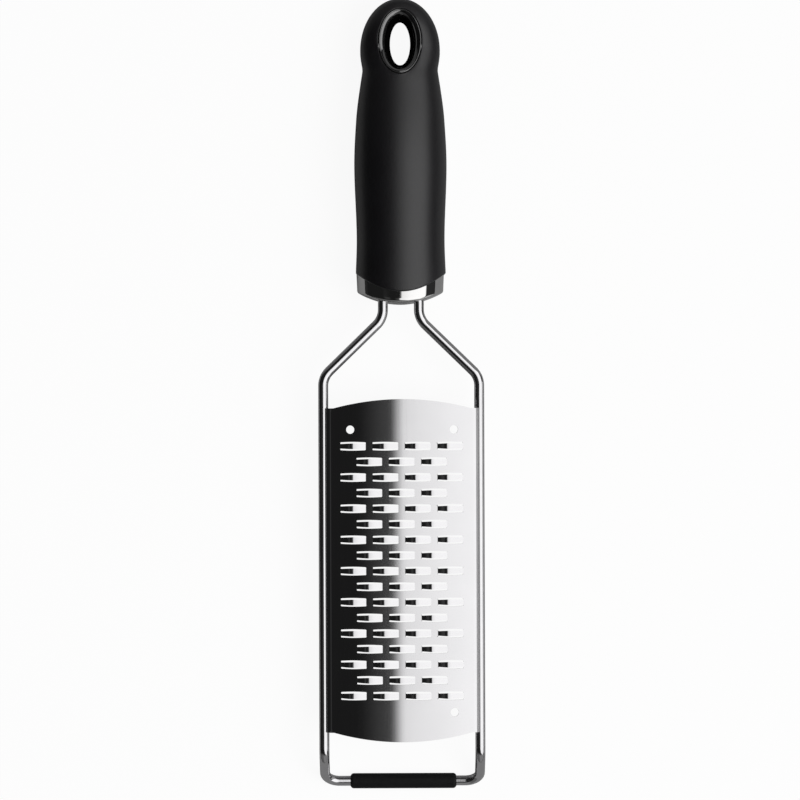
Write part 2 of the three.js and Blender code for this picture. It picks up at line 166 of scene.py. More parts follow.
def flat_net(rim, holes, loose):
    """Triangles between a rim and its holes, over loose points between them.

    Returns the points, the triangles, and for each point its number among those given.
    """
    loops = [rim, *holes]
    coords = [Vector(p) for loop in loops for p in loop] + [Vector(p) for p in loose]
    edges, start = [], 0
    for loop in loops:
        size = len(loop)
        edges.extend((start + i, start + (i + 1) % size) for i in range(size))
        start += size
    verts, _, faces, sources, _, _ = delaunay_2d_cdt(coords, edges, [], 0, 1e-7)
    points = np.array([tuple(v) for v in verts])
    triangles = np.array([f for f in faces if len(f) == 3])
    middles = points[triangles].mean(axis=1)
    keep = inside(np.array(rim), middles)
    for hole in holes:
        polygon = np.array(hole)
        low, high = polygon.min(axis=0), polygon.max(axis=0)
        near = np.where(((middles > low) & (middles < high)).all(axis=1))[0]
        keep[near[inside(polygon, middles[near])]] = False
    triangles = triangles[keep]
    a, b, c = (points[triangles[:, k]] for k in range(3))
    turn = (b - a)[:, 0] * (c - a)[:, 1] - (b - a)[:, 1] * (c - a)[:, 0]
    triangles[turn < 0] = triangles[turn < 0][:, ::-1]
    return points, triangles, [source[0] for source in sources]


test_square = [(0, 0), (4, 0), (4, 4), (0, 4)]
test_hole = [(1, 1), (2, 1), (2, 2)]
print("net test:", len(flat_net(test_square, [test_hole], [(3, 3)])[1]), "triangles")

# %% [markdown]
# ## Finishes
# Each finish is a Principled shader with a little procedural detail: grain that breaks up a
# highlight, a faint change of tone, and a bump too fine to see as a shape. The pattern is laid
# in object space, in metres, so a scale of 4000 means grains a quarter of a millimetre across.

# %% Finish helpers
noise_low, noise_high, noise_rough = 0.3, 0.7, 0.55


def set_inputs(node, **values):
    """Sets constant values on a node's own sockets. In their names, _ stands for a space."""
    for socket, value in values.items():
        node.inputs[socket.replace("_", " ")].default_value = value


def new_finish(name, **values):
    """A Principled material with its constant values, and its node tree."""
    material = bpy.data.materials.new(name)
    material.use_nodes = True
    set_inputs(material.node_tree.nodes["Principled BSDF"], **values)
    return material, material.node_tree


def add(kind, **settings):
    """A new node in the tree that is being built."""
    node = tree.nodes.new(kind)
    for key, value in settings.items():
        setattr(node, key, value)
    return node


def grain(scale, detail=4.0, stretch=(1, 1, 1), source="Object"):
    """A noise pattern, stretched along an axis if asked. Returns its value socket."""
    where = add("ShaderNodeTexCoord")
    place = add("ShaderNodeMapping")
    set_inputs(place, Scale=stretch)
    noise = add("ShaderNodeTexNoise")
    set_inputs(noise, Scale=scale, Detail=detail, Roughness=noise_rough)
    tree.links.new(where.outputs[source], place.inputs["Vector"])
    tree.links.new(place.outputs["Vector"], noise.inputs["Vector"])
    return noise.outputs["Fac"]


def spread(value, low, high):
    """The middle of a noise pattern stretched over a range of numbers."""
    ramp = add("ShaderNodeMapRange")
    set_inputs(ramp, From_Min=noise_low, From_Max=noise_high, To_Min=low, To_Max=high)
    tree.links.new(value, ramp.inputs["Value"])
    return ramp.outputs["Result"]


def feed(value, socket):
    """Links a pattern to a socket of the shader."""
    tree.links.new(value, tree.nodes["Principled BSDF"].inputs[socket])


def tint(value, dark, pale):
    """Colours the finish with two close tones, mixed by a pattern."""
    mix = add("ShaderNodeMix", data_type="RGBA")
    set_inputs(mix, A=(*dark, 1), B=(*pale, 1))
    tree.links.new(spread(value, 0, 1), mix.inputs["Factor"])
    feed(mix.outputs["Result"], "Base Color")


def roughen(value, low, high):
    feed(spread(value, low, high), "Roughness")


def relief(value, depth, strength):
    """Bump of a given depth in metres."""
    bump = add("ShaderNodeBump")
    set_inputs(bump, Strength=strength, Distance=depth)
    tree.links.new(value, bump.inputs["Height"])
    feed(bump.outputs["Normal"], "Normal")


print("patterns use the noise from", noise_low, "to", noise_high)

# %% [markdown]
# ### Soft grip
# The grip is a rubbery skin moulded from an etched tool, so it is dull and finely pebbled and
# has a slight bloom. A rough shader with a plain highlight does most of it, and the pebbles
# spread the highlight into a broad soft band.

# %% Soft black
soft_black, tree = new_finish("soft_black", Specular_IOR_Level=0.8)
pebbles = grain(3200, detail=3)
tint(grain(90), (0.0036, 0.0033, 0.0042), (0.0046, 0.0042, 0.0054))
roughen(pebbles, 0.35, 0.45)
relief(pebbles, 0.00003, 0.5)
print("soft_black nodes:", len(tree.nodes))

# %% [markdown]
# ### Gloss black
# The ring of the eye is polished hard plastic: almost no colour of its own, only reflections.
# A faint waviness and hairline wear keep it from looking like black glass.

# %% Gloss black
gloss_black, tree = new_finish("gloss_black", IOR=2.6)
tint(grain(140), (0.0012, 0.0011, 0.0012), (0.002, 0.0019, 0.002))
hairlines = grain(700, detail=6, stretch=(3, 0.3, 3))
roughen(hairlines, 0.05, 0.1)
relief(grain(160, detail=1), 0.00001, 0.25)
print("gloss_black nodes:", len(tree.nodes))

# %% [markdown]
# ### Plated collar
# The collar is a moulded cap with a bright plating. It is black where it mirrors the dark side
# of the studio and white where it mirrors the soft light, with a sharp line between. The plating
# follows the slightly wavy skin of the moulding below it.

# %% Plated collar
polished_cap, tree = new_finish("polished_cap", Metallic=1.0)
tint(grain(110), (0.7, 0.695, 0.69), (0.74, 0.735, 0.73))
roughen(grain(900, detail=5), 0.03, 0.06)
relief(grain(120, detail=1), 0.00001, 0.2)
print("polished_cap nodes:", len(tree.nodes))

# %% [markdown]
# ### Foot rubber
# The foot is a plain rubber tube: duller than the grip, with a dusty bloom and no shine to
# speak of.

# %% Foot rubber
foot_rubber, tree = new_finish("foot_rubber", Specular_IOR_Level=0.2)
dust = grain(400, detail=6)
tint(dust, (0.0042, 0.0042, 0.0044), (0.0064, 0.0064, 0.0067))
roughen(grain(2500), 0.55, 0.72)
relief(grain(3000, detail=3), 0.00003, 0.5)
print("foot_rubber nodes:", len(tree.nodes))

# %% [markdown]
# ### Polished wire
# Drawn wire keeps faint lines along its length even after polishing. The lines are constant
# along the wire and change round it, and so does the surface normal, so a noise that reads the
# normal runs along every straight and bend.

# %% Polished wire
polished_wire, tree = new_finish("polished_wire", Metallic=1.0)
tint(grain(70), (0.66, 0.655, 0.665), (0.7, 0.695, 0.705))
draw_lines = grain(14, detail=5, source="Normal")
roughen(draw_lines, 0.07, 0.13)
relief(draw_lines, 0.000003, 0.1)
print("polished_wire nodes:", len(tree.nodes))

# %% [markdown]
# ### Blade steel
# The sheet is bright rolled stainless. Rolling leaves very fine lines along its length, which
# stretch a reflection a little across them. They change the roughness and, by a hair, the
# surface. The tone of the steel drifts slightly from place to place.

# %% Blade steel
blade_steel, tree = new_finish("blade_steel", Metallic=1.0)
tint(grain(45), (0.64, 0.635, 0.645), (0.67, 0.665, 0.675))
rolling = grain(2600, detail=4, stretch=(1, 0.012, 1))
roughen(rolling, 0.055, 0.095)
relief(rolling, 0.000002, 0.15)
print("blade_steel nodes:", len(tree.nodes))

# %% [markdown]
# ## The wire
# One wire is bent into the whole frame: out of the handle, down two sloping shoulders, along
# both sides of the blade, back behind it at the foot and across. It is drawn as a line of
# corners, each rounded to its bending radius, and a circle is carried along that line without
# twisting.

# %% Wire sizes
side_x, tail_x = 32.1, 7.4
foot_radius, foot_bend = 3.15, math.radians(49.4)
blade_half, kink_gap, shoulder_gap = 66.4, 9.7, 13.2
neck_rise, neck_to_collar, tail_in_handle = 24.0, 5.8, 50
neck_bend, shoulder_bend, kink_bend, bar_bend = 9.0, 8.5, 8.0, 6.0

foot_axis_at = foot_radius
foot_drop = wire_plane - foot_radius
kink_at = foot_axis_at + foot_drop / math.tan(foot_bend)
blade_centre_at = kink_at + kink_gap + blade_half
shoulder_at = blade_centre_at + blade_half + shoulder_gap
neck_at = shoulder_at + neck_rise
collar_at = neck_at + neck_to_collar

half_corners = [
    ((tail_x, collar_at + tail_in_handle, 0), 0),
    ((tail_x, neck_at, 0), neck_bend),
    ((side_x, shoulder_at, 0), shoulder_bend),
    ((side_x, kink_at, 0), kink_bend),
    ((side_x, foot_axis_at, -foot_drop), bar_bend),
]
other_half = [((-x, y, z), radius) for (x, y, z), radius in reversed(half_corners)]
wire_corners = half_corners + other_half
print("corners of the wire:", len(wire_corners), "collar at", collar_at, "mm from the foot")

# %% Wire line
def rounded_line(corners, steps=14):
    """Places and directions along a line whose inner corners are rounded."""
    stations = []
    for i, (at, radius) in enumerate(corners):
        at = Vector(at)
        before = (at - Vector(corners[i - 1][0])).normalized() if i else None
        after = (Vector(corners[i + 1][0]) - at).normalized() if i + 1 < len(corners) else None
        if before is None or after is None:
            stations.append((at, before or after))
            continue
        turn = before.angle(after)
        axis = before.cross(after).normalized()
        inward = axis.cross(before)
        centre = at - before * (radius * math.tan(turn / 2)) + inward * radius
        for k in range(steps + 1):
            swing = Quaternion(axis, turn * k / steps)
            stations.append((centre + swing @ (-inward * radius), swing @ before))
    return stations


wire_line = rounded_line(wire_corners)
print("wire stations:", len(wire_line))

# %% Wire piece
wire_extra = 0.05


def swept_tube(stations, radius, sides=40):
    """Rings of a round section, carried from one direction to the next without twist."""
    rings, up = [], Vector((0, 0, 1))
    angles = [2 * math.pi * k / sides for k in range(sides)]
    for i, (at, along) in enumerate(stations):
        if i:
            up = stations[i - 1][1].rotation_difference(along) @ up
        side = along.cross(up)
        rings.append([
            at + up * (radius * math.cos(a)) + side * (radius * math.sin(a)) for a in angles])
    return rings


wire_skin = skin(swept_tube(wire_line, wire_radius + wire_extra))
make_piece("wire", [wire_skin], "wire_frame", polished_wire)

# %% [markdown]
# ## The blade, laid flat
# A real blade starts as a flat sheet. The slits are etched through it, the strip between each
# pair of slits is pressed up into a crest with two sharp edges, and the sheet is arched and
# rolled down onto the side wires. The script goes the same way: it draws the flat sheet with all
# its slits, and bends it afterwards by moving its points.

# %% Sheet sizes
thickness, weld_gap = 0.5, 0.1
arch_radius, roll_radius, roll_end = 186.0, 3.15, math.radians(60)
tip_reach, bow_inset = 1.23, 0.8
tip_x = side_x - wire_radius + tip_reach
roll_x = tip_x - roll_radius * math.sin(roll_end)
tip_from_wire = side_x - tip_x + thickness / 2 * math.sin(roll_end)
tip_height = math.sqrt((wire_radius + weld_gap) ** 2 - tip_from_wire**2)
roll_z = tip_height - (roll_radius - thickness / 2) * math.cos(roll_end)
arch_end = math.asin(roll_x / (arch_radius - roll_radius))
arch_end_x = arch_radius * math.sin(arch_end)
arch_height = arch_radius * (1 - math.cos(arch_end))
crown = roll_z + roll_radius * math.cos(arch_end) + arch_height
arch_length = arch_radius * arch_end
roll_length = roll_radius * (roll_end - arch_end)
half_sheet = arch_length + roll_length
half_side, end_bow, bow_half, end_shift = 66.58, 3.73, arch_end_x - bow_inset, 0.18
blade_shift = 0.27
print("half width of the flat sheet:", round(half_sheet, 2), "mm")

# %% [markdown]
# ### Cutters
# The cutters stand in staggered rows of four and three. Each strip is widest in the middle and
# rises to a rounded crest a little to the left of it. Its two edges stand free above the window
# and can cut.

# %% Cutter shapes
cutter_half, strip_rise, crest, crest_at = 5.25, 1.42, 0.62, -0.15
slit_corner, cutter_shift = 0.3, -0.22
strip_end, strip_swell = 0.925, 0.225
window_end, window_swell = 1.615, 0.175
row_count, row_pitch, column_pitch = 17, 6.4, 13.3


def tent(t):
    """1 at the middle of a cutter and 0 at its ends, almost straight, with a rounded top."""
    top = math.hypot(1, crest)
    return (top - np.hypot(t, crest)) / (top - crest)


def lift(t):
    """How far a strip rises: like the tent, but with its crest left of the middle."""
    from_crest = t - crest_at
    reach = np.where(from_crest < 0, 1 + crest_at, 1 - crest_at)
    return strip_rise * tent(from_crest / reach)


def strip_half_width(t):
    return strip_end + strip_swell * tent(t)


def window_half_width(t):
    return window_end + window_swell * tent(t)


cutters = []
for row in range(row_count):
    columns = 4 - row % 2
    for column in range(columns):
        x = (column - (columns - 1) / 2) * column_pitch + cutter_shift
        cutters.append((x, (row - (row_count - 1) / 2) * row_pitch))
print("cutters:", len(cutters))

# %% [markdown]
# ### Slits, holes and rim
# A slit is a bowed slot with rounded corners. Its inner edge is the cutting edge of the strip
# and its outer edge is the window. The ends of the sheet are bowed, but the margins that roll
# down to the wires are cut square.

# %% Slit outlines
run_points, corner_turns = 15, np.array([25, 50, 75])
strip_first = run_points + len(corner_turns)
strip_last = strip_first + run_points + 2 * len(corner_turns)


def slit(side):
    """One slit of a cutter at the origin, on the side +1 or -1 of its strip."""
    run = np.linspace(-1, 1, run_points) * (cutter_half - slit_corner)
    outer = [(x, window_half_width(x / cutter_half)) for x in run]
    inner = [(x, strip_half_width(x / cutter_half)) for x in run[::-1]]

    def corner(x, y, start):
        angles = np.radians(start - corner_turns)
        return [(x + slit_corner * math.cos(a), y + slit_corner * math.sin(a)) for a in angles]

    right, left = run[-1], run[0]
    high, low = outer[-1][1] - slit_corner, inner[0][1] + slit_corner
    loop = [*outer, *corner(right, high, 90), *corner(right, low, 0), *inner]
    loop += [*corner(left, low, 270), *corner(left, high, 180)]
    return [(x, side * y) for x, y in loop]


slits = {side: np.array(slit(side)) for side in (1, -1)}
slit_loops = [[tuple(p) for p in slits[side] + centre] for centre in cutters for side in (1, -1)]
print("slits:", len(slit_loops), "points on each:", len(slit_loops[0]))

# %% Locating holes and rim
locator_x, locator_y, locator_radius = 21.3, 58, 1.7
rim_across, rim_along = 81, 67


def circle(radius, count):
    angles = np.linspace(0, 2 * math.pi, count, endpoint=False)
    return [(radius * math.cos(a), radius * math.sin(a)) for a in angles]


def end_line(u):
    """How far from its middle the sheet ends, u from its centre line."""
    return half_side + np.where(np.abs(u) < bow_half, end_bow * (1 - (u / bow_half) ** 2), 0.0)


locators = [(-locator_x, locator_y), (locator_x, locator_y), (locator_x, -locator_y)]
ring = circle(locator_radius, 40)
locator_loops = [[(x + cx, y + cy) for x, y in ring] for cx, cy in locators]

across = np.linspace(-half_sheet, half_sheet, rim_across)
across = np.unique(np.concatenate([across, [-bow_half, bow_half]]))
up_side = np.linspace(-half_side, half_side, rim_along)[1:-1]
low_end = list(zip(across, -end_line(across)))
right_side = [(half_sheet, v) for v in up_side]
high_end = list(zip(across[::-1], end_line(across[::-1])))
left_side = [(-half_sheet, v) for v in up_side[::-1]]
rim = [(u, v + end_shift) for u, v in low_end + right_side + high_end + left_side]
print("locating holes:", len(locators), "points on the rim:", len(rim))

# %% [markdown]
# ### Points between the lines
# The arch is gentle, so the plain sheet needs a point every millimetre or two. The rolled edge
# turns fast and gets a line of points at every few degrees. Each strip gets three rows of its
# own, which later rise with it, and a short line of points just outside each root keeps the fold
# at the root crisp.

# %% Loose points
plain_lines, rolled_lines = 47, 14
sheet_v = np.linspace(-72, 72, 97)
rim_room, root_room, window_room, locator_room = 0.6, 0.35, 2.3, 2.3
strip_t, strip_shares = np.linspace(-0.96, 0.96, 25), (-0.5, 0.0, 0.5)
root_step, root_v = 0.1, np.linspace(-1.9, 1.9, 9)

plain_u = np.linspace(-arch_length, arch_length, plain_lines)
rolled_u = np.linspace(arch_length, half_sheet, rolled_lines)[1:-1]
sheet_u = np.concatenate([plain_u, rolled_u, -rolled_u])
sheet_points = np.array([(u, v) for u in sheet_u for v in sheet_v])
u, v = sheet_points.T
clear = np.abs(v) < end_line(u) - rim_room
for cu, cv in cutters:
    clear &= (np.abs(u - cu) >= cutter_half + root_room) | (np.abs(v - cv) >= window_room)
for cu, cv in locators:
    clear &= np.hypot(u - cu, v - cv) > locator_room
sheet_points = sheet_points[clear]

strip_points = np.array([
    (cu + t * cutter_half, cv + share * strip_half_width(t))
    for cu, cv in cutters
    for t in strip_t
    for share in strip_shares
])
root_points = np.array([
    (cu + side * (cutter_half + root_step), cv + dv)
    for cu, cv in cutters
    for side in (-1, 1)
    for dv in root_v
])
sheet_points = np.concatenate([sheet_points, root_points])
print("loose points on the sheet:", len(sheet_points), "and on the strips:", len(strip_points))

# %% [markdown]
# ### Bending the sheet
# The distance across the flat sheet is the distance along the bent one, so each point keeps its
# length from the crown: first along the wide arch, then down round the tight roll to the wire.
# A point of a strip also rises along the normal. The exact normal is known everywhere, so it is
# stored, and the steel reflects as a true curve would.

# %% Bend
def bent(u):
    """Place across, height and heading below level of the sheet at a distance u from its crown."""
    far = np.abs(u)
    in_arch = far <= arch_length
    radius = np.where(in_arch, arch_radius, roll_radius)
    heading = np.where(in_arch, far / arch_radius, arch_end + (far - arch_length) / roll_radius)
    x = np.where(in_arch, 0, roll_x) + radius * np.sin(heading)
    z = np.where(in_arch, crown - arch_radius, roll_z) + radius * np.cos(heading)
    return blade_shift + np.sign(u) * x, z, np.sign(u) * heading


def sheet_face(flat, owner, offset, bevel):
    """One face of the bent sheet: its points and its normals.

    owner is the cutter whose strip a point belongs to, or -1. The bevel narrows the strips.
    """
    flat = flat.copy()
    on_strip = owner >= 0
    centres = np.array(cutters)[owner[on_strip]]
    t = np.clip((flat[on_strip, 0] - centres[:, 0]) / cutter_half, -1, 1)
    width = strip_half_width(t)
    from_middle = flat[on_strip, 1] - centres[:, 1]
    flat[on_strip, 1] = centres[:, 1] + from_middle * (width - bevel) / width
    rise, slope = np.zeros(len(flat)), np.zeros(len(flat))
    step = 1e-4
    rise[on_strip] = lift(t)
    slope[on_strip] = (lift(t + step) - lift(t - step)) / (2 * step * cutter_half)
    x, z, heading = bent(flat[:, 0])
    level = np.zeros_like(x)
    normal = np.stack([np.sin(heading), level, np.cos(heading)], axis=1)
    along = np.stack([np.cos(heading), level, -np.sin(heading)], axis=1)
    points = np.stack([x, flat[:, 1] + blade_centre_at, z], axis=1)
    points = points + normal * (rise + offset)[:, None]
    normal = normal - along * slope[:, None]
    return points, normal / np.linalg.norm(normal, axis=1, keepdims=True)


print("crown of the blade above the wire plane:", round(crown + thickness / 2, 2), "mm")

# %% Blade net
loose_points = np.concatenate([sheet_points, strip_points])
flat, triangles, sources = flat_net(rim, slit_loops + locator_loops, loose_points)
first_slit, slit_size = len(rim), len(slit_loops[0])
end_slit = first_slit + slit_size * len(slit_loops)
first_loose = end_slit + sum(len(loop) for loop in locator_loops)
first_strip = first_loose + len(sheet_points)
owner = np.full(len(flat), -1)
for i, source in enumerate(sources):
    if source >= first_strip:
        owner[i] = (source - first_strip) // (len(strip_shares) * len(strip_t))
    elif first_slit <= source < end_slit:
        number, place = divmod(source - first_slit, slit_size)
        if strip_first <= place < strip_last:
            owner[i] = number // 2
print("blade net:", len(flat), "points, of which", int((owner >= 0).sum()), "lie on strips")

# %% Blade piece
edge_bevel = 0.3
top, top_normals = sheet_face(flat, owner, thickness / 2, 0.0)
under, under_normals = sheet_face(flat, owner, -thickness / 2, edge_bevel)
count = len(flat)
sides = np.concatenate([triangles[:, [0, 1]], triangles[:, [1, 2]], triangles[:, [2, 0]]])
keys = np.sort(sides, axis=1)
_, back, uses = np.unique(keys, axis=0, return_inverse=True, return_counts=True)
cut_edges = sides[uses[back.ravel()] == 1]
a, b = cut_edges[:, 0], cut_edges[:, 1]
walls = np.stack([a, a + count, b + count, b], axis=1)
under_triangles = triangles[:, ::-1]
faces = [*triangles.tolist(), *(under_triangles + count).tolist(), *walls.tolist()]

mesh = bpy.data.meshes.new("blade_sheet")
points = np.concatenate([top, under])
mesh.from_pydata(to_row(points).tolist(), [], faces)
mesh.polygons.foreach_set("use_smooth", [True] * len(faces))
corners = points[walls]
wall_normals = np.cross(corners[:, 1] - corners[:, 0], corners[:, 2] - corners[:, 1])
wall_normals /= np.linalg.norm(wall_normals, axis=1, keepdims=True)
loop_normals = np.concatenate([
    top_normals[triangles].reshape(-1, 3),
    -under_normals[under_triangles].reshape(-1, 3),
    np.repeat(wall_normals, 4, axis=0),
])
mesh.normals_split_custom_set(loop_normals.tolist())
settle(put("blade_sheet", mesh), "blade", blade_steel)

# %% [markdown]
# ## The handle's form
# The handle is a stack of ovals. Two smooth curves give the half width and the half thickness
# along it: a waist by the collar, a belly for the palm, a throat, and a rounded head that is an
# ellipse of its own. Near the collar the ovals dip at the front and the back, so that the edge of
# the grip is a curve and not a straight cut.

# %% Handle curves
edge_side, edge_dip, dip_fade = 12.35, 7.6, 34.0
waist_height, belly_height, head_height, head_length = 26.5, 57.4, 104.5, 21.4
taper_height = belly_height + 0.395 * (head_height - belly_height)
throat_height = belly_height + 0.715 * (head_height - belly_height)
head_width, head_thickness, head_blend = 16.4, 9.4, 0.5


def smooth_curve(points):
    """A curve through points that never overshoots them."""
    xs, vs = np.array(points, dtype=float).T
    rise = np.diff(vs) / np.diff(xs)
    before, after = np.concatenate([rise[:1], rise]), np.concatenate([rise, rise[-1:]])
    product, total = before * after, before + after
    slope = np.where(product <= 0, 0, 2 * product / np.where(total == 0, 1, total))

    def value(x):
        x = np.clip(x, xs[0], xs[-1])
        i = np.clip(np.searchsorted(xs, x) - 1, 0, len(xs) - 2)
        span = xs[i + 1] - xs[i]
        t = (x - xs[i]) / span
        ease = t * t * (3 - 2 * t)
        bend = slope[i] * t * (1 - t) ** 2 - slope[i + 1] * t * t * (1 - t)
        return vs[i] + (vs[i + 1] - vs[i]) * ease + span * bend

    return value


body_width = smooth_curve([
    (edge_side, 18.52),
    (waist_height, 18.08),
    (belly_height, 19),
    (taper_height, 18.15),
    (throat_height, 16.25),
    (head_height, 13.7),
])
body_thickness = smooth_curve([
    (edge_side - edge_dip, 16.6),
    (waist_height, 16.3),
    (belly_height, 17.2),
    (throat_height, 12.6),
    (head_height, head_thickness),
])
print("throat of the handle:", round(throat_height, 2), "mm above the collar")

# %% Handle section
oval_power = 2.1


def half_width(height, inset=0.0):
    share = np.minimum(1, np.abs(height - head_height) / (head_length - inset))
    head = (head_width - inset) * np.sqrt(1 - share**2)
    body = body_width(height) - inset
    wider = (body + head + np.hypot(body - head, head_blend)) / 2
    return np.where(height >= head_height, head, wider)


def half_thickness(height, inset=0.0):
    share = np.clip((height - head_height) / (head_length - inset), 0, 1)
    head = (head_thickness - inset) * np.sqrt(1 - share**3)
    return np.where(height >= head_height, head, body_thickness(height) - inset)


def soften(v):
    """A sine or cosine bent so that a circle becomes a slightly squarer oval."""
    return np.sign(v) * np.abs(v) ** (2 / oval_power)


def dip_at(side):
    """How far an oval dips at the front and the back, from its height at the sides."""
    return edge_dip * np.clip(1 - (side - edge_side) / dip_fade, 0, 1)


def grip_point(angle, side, inset=0.0):
    """A point of the grip's skin: angle 0 on the right edge, a quarter turn on the front."""
    share, dip = soften(np.cos(angle)), dip_at(side)
    x = half_width(side, inset) * share
    y = collar_at + side - dip * (1 - share**2)
    z = half_thickness(side - dip, inset) * soften(np.sin(angle))
    return np.stack(np.broadcast_arrays(x, y, z), axis=-1)


widths = [round(2 * float(half_width(height)), 1) for height in (belly_height, head_height)]
print("belly and head:", widths, "mm wide")

# %% [markdown]
# ## The grip
# The skin of the grip is split into a front and a back half. Each half is unrolled flat, where
# the eye is an oval hole in a rectangle, filled with a net of triangles, and rolled up again.
# Small rounded lips finish the eye and the lower edge.

# %% Eye outline
eye_rise, eye_rim_x, eye_rim_y = 3.0, 8.75, 13.4
eye_height = head_height + eye_rise
eye_lip, eye_gap, roll_scale = 0.45, 0.08, 14.0
ring_points = 112
ring_angles = np.linspace(0, 2 * math.pi, ring_points, endpoint=False)


def eye_oval(grow):
    """The oval of the eye, made larger all round: places across and heights."""
    x = (eye_rim_x + grow) * np.cos(ring_angles)
    return x, eye_height + (eye_rim_y + grow) * np.sin(ring_angles)


def face_angle(x, height):
    """The angle round the oval at which the grip's skin is x to the side."""
    share = np.clip(np.abs(x) / half_width(height), 0, 1)
    return np.arccos(np.sign(x) * share ** (oval_power / 2))


eye_x, eye_y = eye_oval(eye_lip + eye_gap)
eye_loop = list(zip((face_angle(eye_x, eye_y) - math.pi / 2) * roll_scale, eye_y))
print("eye in the grip:", round(2 * float(eye_x.max()), 2), "mm wide")

# %% Grip net
lip, eye_room = 0.8, 1.0
net_columns, body_lines, head_lines = 57, 66, 22
columns = (np.linspace(0, math.pi, net_columns) - math.pi / 2) * roll_scale
body_rows = np.linspace(edge_side + lip, head_height, body_lines)
head_rows = head_height + head_length * np.sin(np.linspace(0, math.pi / 2, head_lines))[1:]
rows = np.concatenate([body_rows, head_rows])
grid = np.array([(q, r) for r in rows[1:-1] for q in columns[1:-1]])
grid_x = half_width(grid[:, 1]) * soften(np.cos(grid[:, 0] / roll_scale + math.pi / 2))
grid_y = grid[:, 1] - eye_height
grid = grid[np.hypot(grid_x / (eye_rim_x + eye_room), grid_y / (eye_rim_y + eye_room)) > 1]
low_edge = [(q, rows[0]) for q in columns]
right_edge = [(columns[-1], r) for r in rows[1:]]
top_edge = [(q, rows[-1]) for q in columns[-2::-1]]
left_edge = [(columns[0], r) for r in rows[-2:0:-1]]
grip_rim = low_edge + right_edge + top_edge + left_edge
net, net_triangles, net_sources = flat_net(grip_rim, [eye_loop], grid)
print("grip net:", len(net), "points on each half")

# %% Rolled-up net
kept_waves = 5


def even_out(heights):
    """Heights round the eye without their small ripples."""
    waves = np.fft.rfft(heights)
    waves[kept_waves:] = 0
    return np.fft.irfft(waves, len(heights))


eye_skin = grip_point(face_angle(eye_x, eye_y), eye_y)[:, 2]
eye_z = even_out(eye_skin)
front = grip_point(net[:, 0] / roll_scale + math.pi / 2, net[:, 1])
for i, source in enumerate(net_sources):
    if len(grip_rim) <= source < len(grip_rim) + len(eye_loop):
        front[i, 2] = eye_z[source - len(grip_rim)]
rear = front * (1, 1, -1)
print("edge of the eye: moved by at most", round(float(np.abs(eye_z - eye_skin).max()), 3), "mm")

# %% Grip piece
eye_wall = 2.0
fold_in = [(0.0, 1.8), (3.0, 2.2)]


def quarter_round(radius, count):
    """Steps round an edge: how far each one is from the end of the edge, and how far inset."""
    angles = np.linspace(0, math.pi / 2, count)
    return [(radius * (1 - math.sin(a)), radius * (1 - math.cos(a))) for a in angles]


def edge_ring(side, inset):
    return grip_point(ring_angles, np.full(ring_points, side), inset)


def eye_edge(face):
    """The rounded edge of the grip round the eye, and a short wall down beside the ring."""
    rings = []
    for grow, drop in quarter_round(eye_lip, 6):
        x, y = eye_oval(eye_gap + grow)
        rings.append(np.stack([x, collar_at + y, face * (eye_z - drop)], axis=1))
    rings.append(rings[-1] - (0, 0, face * eye_wall))
    return rings


lip_steps = quarter_round(lip, 7) + fold_in
lip_rings = [edge_ring(edge_side + rise, inset) for rise, inset in lip_steps]
grip_faces = net_triangles.tolist()
make_piece("grip", [
    (front.tolist(), grip_faces),
    (rear.tolist(), [face[::-1] for face in grip_faces]),
    skin(lip_rings),
    skin(eye_edge(1)),
    skin(eye_edge(-1)),
], "grip_sleeve", soft_black)

# %% [markdown]
# ## The ring of the eye
# The hard core of the handle comes to the surface as a ring in the eye. From a thin bead, which
# stands slightly proud of the grip, it falls like a funnel to an oval throat near the back, and
# rolls out again there. One profile is carried round the eye, and its heights are shares of the
# thickness of the head at that place, which is less at the sides and the end than in the middle.

# %% Eye profile
rim_bead, bead_lift, bead_foot = 0.4, 0.1, 0.3


def eye_profile(depth):
    """The steps of the ring's profile, from the rim to the throat.

    Each step has the share of the way in, the drop as a share of the head's half thickness,
    and an extra height in millimetres. Shares below 0 lie on the bead.
    """
    steps = [(-1.0, bead_foot, 0.0)]
    for a in np.linspace(0, math.pi, 11):
        steps.append((-0.5 - 0.5 * math.cos(a), 0.0, bead_lift + rim_bead * math.sin(a)))
    for a in np.linspace(0, math.pi / 2, 26)[1:]:
        steps.append((math.sin(a), depth * (1 - math.cos(a)), bead_lift * math.cos(a)))
    return steps


rim_x, rim_y = eye_oval(0.0)
skin_z = grip_point(face_angle(rim_x, rim_y), rim_y)[:, 2]
rim_z = even_out(skin_z)
print("rim of the eye: at most", round(float(np.abs(rim_z - skin_z).max()), 3), "mm from the skin")

# %% Eye ring
ring_side, ring_end, rim_land = 4.58, 4.5, 0.6
front_depth, back_depth = 1.42, 0.5


def eye_ring_at(face, share, drop, extra):
    """One oval of the ring, on the front face (1) or the back face (-1)."""
    land = rim_land * min(1.0, 1.0 + share)
    roll = max(0.0, share)
    x = (eye_rim_x - land - (ring_side - rim_land) * roll) * np.cos(ring_angles)
    y = eye_height + (eye_rim_y - land - (ring_end - rim_land) * roll) * np.sin(ring_angles)
    return np.stack([x, collar_at + y, face * (rim_z * (1 - drop) + extra)], axis=1)


front_rings = [eye_ring_at(1, *step) for step in eye_profile(front_depth)]
back_rings = [eye_ring_at(-1, *step) for step in eye_profile(back_depth)]
ring_skin = skin(front_rings + back_rings[::-1])
make_piece("eye_ring", [ring_skin], "handle_core", gloss_black, sharp_degrees=60)

# %% [markdown]
# ## The collar
# The collar closes the lower end of the handle. Its upper edge follows the curve of the grip and
# tucks in under it. Its sides taper a little, its lower edge is bowed too and softly rounded, and
# the two wire tails come out of its floor. The floor is a flat net with two round holes, bent to
# the bow of the collar.

